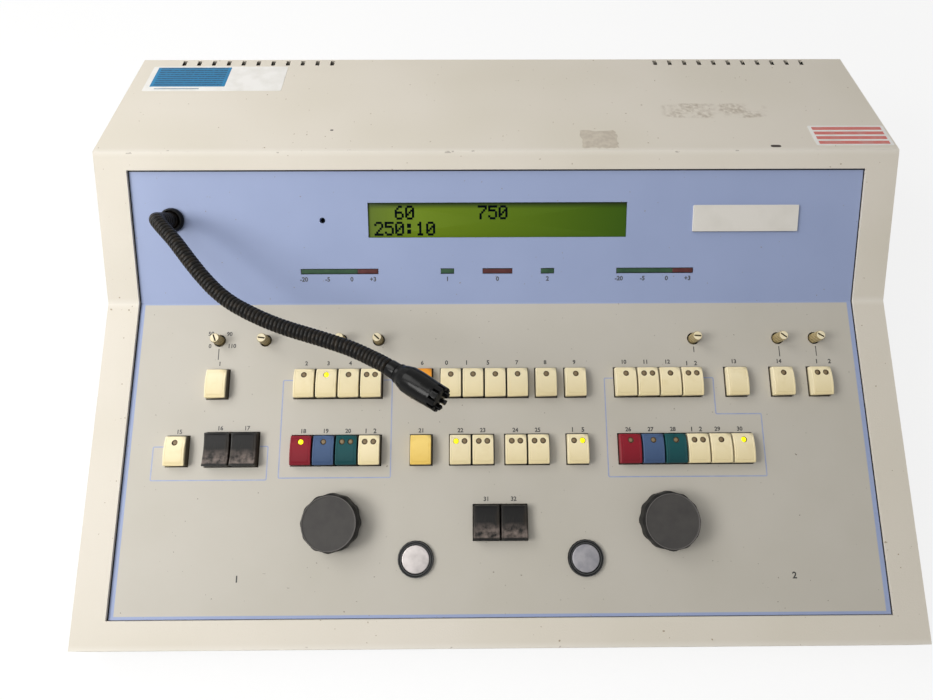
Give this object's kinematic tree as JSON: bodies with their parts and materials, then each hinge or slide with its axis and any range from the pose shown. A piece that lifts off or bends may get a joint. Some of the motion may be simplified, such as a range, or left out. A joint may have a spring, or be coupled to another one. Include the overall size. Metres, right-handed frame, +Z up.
{
  "type": "clinical audiometer",
  "caption": "Desktop audiometer with a sloping keypad of coloured lamp keys, lobed level dials, slotted trim spindles, round touch buttons, a character display and a gooseneck microphone.",
  "frame": {"origin": "middle of the case's footprint, on the plane that the feet rest on", "axes": "+X to the operator's right, +Y from the operator to the back, +Z up"},
  "size_m": [0.46, 0.3516, 0.1373],
  "materials": {
    "case_paint": "fine-textured warm grey-beige baked paint on folded steel",
    "panel_print": "satin printed sheet, pale blue on the display face and warm grey on the keypad",
    "tray_paint": "fine-textured beige baked paint on folded steel, with dark rubber feet",
    "board": "dark laminate with black moulded switches and parts",
    "display": "dark laminate with a green character display and dark lamp lenses",
    "cream_cap": "moulded cream plastic",
    "red_cap": "moulded dark red plastic",
    "blue_cap": "moulded grey-blue plastic",
    "green_cap": "moulded dark green plastic",
    "orange_cap": "moulded orange plastic",
    "yellow_cap": "moulded yellow plastic",
    "black_cap": "moulded glossy black plastic",
    "dial_grip": "moulded matt dark grey plastic",
    "spindle": "moulded ivory plastic",
    "touch_metal": "fine-brushed nickel-plated disc",
    "mic_rubber": "black ribbed rubber sleeve over a steel spring",
    "mic_plastic": "glossy black moulded plastic"
  },
  "bodies": {
    "case": {"top_cover": "case_paint", "base_tray": "tray_paint", "control_panel": "panel_print", "display_board": "display", "key_board": "board", "main_board": "board"},
    "alternate_key_body": {"alternate_key": "cream_cap"},
    "auto_threshold_key_body": {"auto_threshold_key": "cream_cap"},
    "bone_key_1_body": {"bone_key_1": "green_cap"},
    "bone_key_2_body": {"bone_key_2": "green_cap"},
    "channel_sync_key_body": {"channel_sync_key": "cream_cap"},
    "clear_key_body": {"clear_key": "cream_cap"},
    "correct_key_body": {"correct_key": "black_cap"},
    "decibel_key_body": {"decibel_key": "cream_cap"},
    "delete_key_body": {"delete_key": "cream_cap"},
    "extended_range_key_body": {"extended_range_key": "orange_cap"},
    "incorrect_key_body": {"incorrect_key": "black_cap"},
    "increment_test_key_body": {"increment_test_key": "cream_cap"},
    "insert_key_2_body": {"insert_key_2": "cream_cap"},
    "left_key_1_body": {"left_key_1": "blue_cap"},
    "left_key_2_body": {"left_key_2": "blue_cap"},
    "lower_key_body": {"lower_key": "black_cap"},
    "manual_key_1_body": {"manual_key_1": "cream_cap"},
    "manual_key_2_body": {"manual_key_2": "cream_cap"},
    "mic_key_1_body": {"mic_key_1": "cream_cap"},
    "mic_key_2_body": {"mic_key_2": "cream_cap"},
    "monitor_key_body": {"monitor_key": "cream_cap"},
    "noise_key_2_body": {"noise_key_2": "cream_cap"},
    "off_key_2_body": {"off_key_2": "cream_cap"},
    "pulse_key_body": {"pulse_key": "cream_cap"},
    "raise_key_body": {"raise_key": "black_cap"},
    "right_key_1_body": {"right_key_1": "red_cap"},
    "right_key_2_body": {"right_key_2": "red_cap"},
    "speaker_key_1_body": {"speaker_key_1": "cream_cap"},
    "speaker_key_2_body": {"speaker_key_2": "cream_cap"},
    "step_0_key_body": {"step_0_key": "cream_cap"},
    "step_1_key_body": {"step_1_key": "cream_cap"},
    "step_5_key_body": {"step_5_key": "cream_cap"},
    "store_key_body": {"store_key": "yellow_cap"},
    "talk_back_key_body": {"talk_back_key": "cream_cap"},
    "talk_forward_key_body": {"talk_forward_key": "cream_cap"},
    "tape_key_1_body": {"tape_key_1": "cream_cap"},
    "tape_key_2_body": {"tape_key_2": "cream_cap"},
    "tone_key_1_body": {"tone_key_1": "cream_cap"},
    "tone_key_2_body": {"tone_key_2": "cream_cap"},
    "warble_key_body": {"warble_key": "cream_cap"},
    "touch_button_left_body": {"touch_button_left": "touch_metal"},
    "touch_button_right_body": {"touch_button_right": "touch_metal"},
    "level_dial_left_body": {"level_dial_left": "dial_grip"},
    "level_dial_right_body": {"level_dial_right": "dial_grip"},
    "assistant_spindle_body": {"assistant_spindle": "spindle"},
    "calibration_spindle_1_body": {"calibration_spindle_1": "spindle"},
    "calibration_spindle_2_body": {"calibration_spindle_2": "spindle"},
    "calibration_spindle_3_body": {"calibration_spindle_3": "spindle"},
    "lamp_spindle_body": {"lamp_spindle": "spindle"},
    "monitor_spindle_body": {"monitor_spindle": "spindle"},
    "talk_back_spindle_body": {"talk_back_spindle": "spindle"},
    "mic_turret": {"mic_socket": "mic_plastic"},
    "mic_arm": {"gooseneck": "mic_rubber", "microphone_head": "mic_plastic"}
  },
  "joints": [
    {"name": "mic_swivel", "type": "hinge", "parent": "case", "child": "mic_turret", "pos_m": [-0.1888, 0.04975, 0.09717], "axis": [0, -0.5878, 0.809], "range_deg": [-30, 60]},
    {"name": "mic_tilt", "type": "hinge", "parent": "mic_turret", "child": "mic_arm", "pos_m": [-0.1888, 0.04887, 0.09838], "axis": [0.4554, 0.7202, 0.5233], "range_deg": [-25, 10]},
    {"name": "level_dial_left_turn", "type": "hinge", "parent": "case", "child": "level_dial_left_body", "pos_m": [-0.0928, -0.1121, 0.03802], "axis": [0, -0.2419, 0.9703], "continuous": true},
    {"name": "level_dial_right_turn", "type": "hinge", "parent": "case", "child": "level_dial_right_body", "pos_m": [0.0928, -0.1121, 0.03802], "axis": [0, -0.2419, 0.9703], "continuous": true},
    {"name": "touch_button_left_press", "type": "slide", "parent": "case", "child": "touch_button_left_body", "axis": [0, 0.2419, -0.9703], "range_m": [0, 0.0008], "stiffness_N_per_m": 400, "springref_m": -0.001},
    {"name": "touch_button_right_press", "type": "slide", "parent": "case", "child": "touch_button_right_body", "axis": [0, 0.2419, -0.9703], "range_m": [0, 0.0008], "stiffness_N_per_m": 400, "springref_m": -0.001},
    {"name": "assistant_spindle_turn", "type": "hinge", "parent": "case", "child": "assistant_spindle_body", "pos_m": [-0.1634, -0.01168, 0.06305], "axis": [0, -0.2419, 0.9703], "range_deg": [-140, 140]},
    {"name": "calibration_spindle_1_turn", "type": "hinge", "parent": "case", "child": "calibration_spindle_1_body", "pos_m": [-0.092, -0.01168, 0.06305], "axis": [0, -0.2419, 0.9703], "range_deg": [-140, 140]},
    {"name": "calibration_spindle_2_turn", "type": "hinge", "parent": "case", "child": "calibration_spindle_2_body", "pos_m": [-0.0701, -0.01168, 0.06305], "axis": [0, -0.2419, 0.9703], "range_deg": [-140, 140]},
    {"name": "calibration_spindle_3_turn", "type": "hinge", "parent": "case", "child": "calibration_spindle_3_body", "pos_m": [0.1153, -0.01168, 0.06305], "axis": [0, -0.2419, 0.9703], "range_deg": [-140, 140]},
    {"name": "lamp_spindle_turn", "type": "hinge", "parent": "case", "child": "lamp_spindle_body", "pos_m": [-0.1365, -0.01168, 0.06305], "axis": [0, -0.2419, 0.9703], "range_deg": [-140, 140]},
    {"name": "monitor_spindle_turn", "type": "hinge", "parent": "case", "child": "monitor_spindle_body", "pos_m": [0.1868, -0.01168, 0.06305], "axis": [0, -0.2419, 0.9703], "range_deg": [-140, 140]},
    {"name": "talk_back_spindle_turn", "type": "hinge", "parent": "case", "child": "talk_back_spindle_body", "pos_m": [0.1652, -0.01168, 0.06305], "axis": [0, -0.2419, 0.9703], "range_deg": [-140, 140]},
    {"name": "right_key_1_press", "type": "slide", "parent": "case", "child": "right_key_1_body", "axis": [0, 0.2419, -0.9703], "range_m": [0, 0.0025], "stiffness_N_per_m": 300, "springref_m": -0.001},
    {"name": "store_key_press", "type": "slide", "parent": "case", "child": "store_key_body", "axis": [0, 0.2419, -0.9703], "range_m": [0, 0.0025], "stiffness_N_per_m": 300, "springref_m": -0.001},
    {"name": "tone_key_1_press", "type": "slide", "parent": "case", "child": "tone_key_1_body", "axis": [0, 0.2419, -0.9703], "range_m": [0, 0.0025], "stiffness_N_per_m": 300, "springref_m": -0.001},
    {"name": "lower_key_press", "type": "slide", "parent": "case", "child": "lower_key_body", "axis": [0, 0.2419, -0.9703], "range_m": [0, 0.0025], "stiffness_N_per_m": 300, "springref_m": -0.001},
    {"name": "correct_key_press", "type": "slide", "parent": "case", "child": "correct_key_body", "axis": [0, 0.2419, -0.9703], "range_m": [0, 0.0025], "stiffness_N_per_m": 300, "springref_m": -0.001},
    {"name": "extended_range_key_press", "type": "slide", "parent": "case", "child": "extended_range_key_body", "axis": [0, 0.2419, -0.9703], "range_m": [0, 0.0025], "stiffness_N_per_m": 300, "springref_m": -0.001},
    {"name": "monitor_key_press", "type": "slide", "parent": "case", "child": "monitor_key_body", "axis": [0, 0.2419, -0.9703], "range_m": [0, 0.0025], "stiffness_N_per_m": 300, "springref_m": -0.001},
    {"name": "off_key_2_press", "type": "slide", "parent": "case", "child": "off_key_2_body", "axis": [0, 0.2419, -0.9703], "range_m": [0, 0.0025], "stiffness_N_per_m": 300, "springref_m": -0.001},
    {"name": "bone_key_2_press", "type": "slide", "parent": "case", "child": "bone_key_2_body", "axis": [0, 0.2419, -0.9703], "range_m": [0, 0.0025], "stiffness_N_per_m": 300, "springref_m": -0.001},
    {"name": "pulse_key_press", "type": "slide", "parent": "case", "child": "pulse_key_body", "axis": [0, 0.2419, -0.9703], "range_m": [0, 0.0025], "stiffness_N_per_m": 300, "springref_m": -0.001},
    {"name": "clear_key_press", "type": "slide", "parent": "case", "child": "clear_key_body", "axis": [0, 0.2419, -0.9703], "range_m": [0, 0.0025], "stiffness_N_per_m": 300, "springref_m": -0.001},
    {"name": "talk_forward_key_press", "type": "slide", "parent": "case", "child": "talk_forward_key_body", "axis": [0, 0.2419, -0.9703], "range_m": [0, 0.0025], "stiffness_N_per_m": 300, "springref_m": -0.001},
    {"name": "left_key_1_press", "type": "slide", "parent": "case", "child": "left_key_1_body", "axis": [0, 0.2419, -0.9703], "range_m": [0, 0.0025], "stiffness_N_per_m": 300, "springref_m": -0.001},
    {"name": "step_1_key_press", "type": "slide", "parent": "case", "child": "step_1_key_body", "axis": [0, 0.2419, -0.9703], "range_m": [0, 0.0025], "stiffness_N_per_m": 300, "springref_m": -0.001},
    {"name": "delete_key_press", "type": "slide", "parent": "case", "child": "delete_key_body", "axis": [0, 0.2419, -0.9703], "range_m": [0, 0.0025], "stiffness_N_per_m": 300, "springref_m": -0.001},
    {"name": "tape_key_2_press", "type": "slide", "parent": "case", "child": "tape_key_2_body", "axis": [0, 0.2419, -0.9703], "range_m": [0, 0.0025], "stiffness_N_per_m": 300, "springref_m": -0.001},
    {"name": "alternate_key_press", "type": "slide", "parent": "case", "child": "alternate_key_body", "axis": [0, 0.2419, -0.9703], "range_m": [0, 0.0025], "stiffness_N_per_m": 300, "springref_m": -0.001},
    {"name": "auto_threshold_key_press", "type": "slide", "parent": "case", "child": "auto_threshold_key_body", "axis": [0, 0.2419, -0.9703], "range_m": [0, 0.0025], "stiffness_N_per_m": 300, "springref_m": -0.001},
    {"name": "bone_key_1_press", "type": "slide", "parent": "case", "child": "bone_key_1_body", "axis": [0, 0.2419, -0.9703], "range_m": [0, 0.0025], "stiffness_N_per_m": 300, "springref_m": -0.001},
    {"name": "channel_sync_key_press", "type": "slide", "parent": "case", "child": "channel_sync_key_body", "axis": [0, 0.2419, -0.9703], "range_m": [0, 0.0025], "stiffness_N_per_m": 300, "springref_m": -0.001},
    {"name": "decibel_key_press", "type": "slide", "parent": "case", "child": "decibel_key_body", "axis": [0, 0.2419, -0.9703], "range_m": [0, 0.0025], "stiffness_N_per_m": 300, "springref_m": -0.001},
    {"name": "incorrect_key_press", "type": "slide", "parent": "case", "child": "incorrect_key_body", "axis": [0, 0.2419, -0.9703], "range_m": [0, 0.0025], "stiffness_N_per_m": 300, "springref_m": -0.001},
    {"name": "increment_test_key_press", "type": "slide", "parent": "case", "child": "increment_test_key_body", "axis": [0, 0.2419, -0.9703], "range_m": [0, 0.0025], "stiffness_N_per_m": 300, "springref_m": -0.001},
    {"name": "insert_key_2_press", "type": "slide", "parent": "case", "child": "insert_key_2_body", "axis": [0, 0.2419, -0.9703], "range_m": [0, 0.0025], "stiffness_N_per_m": 300, "springref_m": -0.001},
    {"name": "left_key_2_press", "type": "slide", "parent": "case", "child": "left_key_2_body", "axis": [0, 0.2419, -0.9703], "range_m": [0, 0.0025], "stiffness_N_per_m": 300, "springref_m": -0.001},
    {"name": "manual_key_1_press", "type": "slide", "parent": "case", "child": "manual_key_1_body", "axis": [0, 0.2419, -0.9703], "range_m": [0, 0.0025], "stiffness_N_per_m": 300, "springref_m": -0.001},
    {"name": "manual_key_2_press", "type": "slide", "parent": "case", "child": "manual_key_2_body", "axis": [0, 0.2419, -0.9703], "range_m": [0, 0.0025], "stiffness_N_per_m": 300, "springref_m": -0.001},
    {"name": "mic_key_1_press", "type": "slide", "parent": "case", "child": "mic_key_1_body", "axis": [0, 0.2419, -0.9703], "range_m": [0, 0.0025], "stiffness_N_per_m": 300, "springref_m": -0.001},
    {"name": "mic_key_2_press", "type": "slide", "parent": "case", "child": "mic_key_2_body", "axis": [0, 0.2419, -0.9703], "range_m": [0, 0.0025], "stiffness_N_per_m": 300, "springref_m": -0.001},
    {"name": "noise_key_2_press", "type": "slide", "parent": "case", "child": "noise_key_2_body", "axis": [0, 0.2419, -0.9703], "range_m": [0, 0.0025], "stiffness_N_per_m": 300, "springref_m": -0.001},
    {"name": "raise_key_press", "type": "slide", "parent": "case", "child": "raise_key_body", "axis": [0, 0.2419, -0.9703], "range_m": [0, 0.0025], "stiffness_N_per_m": 300, "springref_m": -0.001},
    {"name": "right_key_2_press", "type": "slide", "parent": "case", "child": "right_key_2_body", "axis": [0, 0.2419, -0.9703], "range_m": [0, 0.0025], "stiffness_N_per_m": 300, "springref_m": -0.001},
    {"name": "speaker_key_1_press", "type": "slide", "parent": "case", "child": "speaker_key_1_body", "axis": [0, 0.2419, -0.9703], "range_m": [0, 0.0025], "stiffness_N_per_m": 300, "springref_m": -0.001},
    {"name": "speaker_key_2_press", "type": "slide", "parent": "case", "child": "speaker_key_2_body", "axis": [0, 0.2419, -0.9703], "range_m": [0, 0.0025], "stiffness_N_per_m": 300, "springref_m": -0.001},
    {"name": "step_0_key_press", "type": "slide", "parent": "case", "child": "step_0_key_body", "axis": [0, 0.2419, -0.9703], "range_m": [0, 0.0025], "stiffness_N_per_m": 300, "springref_m": -0.001},
    {"name": "step_5_key_press", "type": "slide", "parent": "case", "child": "step_5_key_body", "axis": [0, 0.2419, -0.9703], "range_m": [0, 0.0025], "stiffness_N_per_m": 300, "springref_m": -0.001},
    {"name": "talk_back_key_press", "type": "slide", "parent": "case", "child": "talk_back_key_body", "axis": [0, 0.2419, -0.9703], "range_m": [0, 0.0025], "stiffness_N_per_m": 300, "springref_m": -0.001},
    {"name": "tape_key_1_press", "type": "slide", "parent": "case", "child": "tape_key_1_body", "axis": [0, 0.2419, -0.9703], "range_m": [0, 0.0025], "stiffness_N_per_m": 300, "springref_m": -0.001},
    {"name": "tone_key_2_press", "type": "slide", "parent": "case", "child": "tone_key_2_body", "axis": [0, 0.2419, -0.9703], "range_m": [0, 0.0025], "stiffness_N_per_m": 300, "springref_m": -0.001},
    {"name": "warble_key_press", "type": "slide", "parent": "case", "child": "warble_key_body", "axis": [0, 0.2419, -0.9703], "range_m": [0, 0.0025], "stiffness_N_per_m": 300, "springref_m": -0.001}
  ]
}
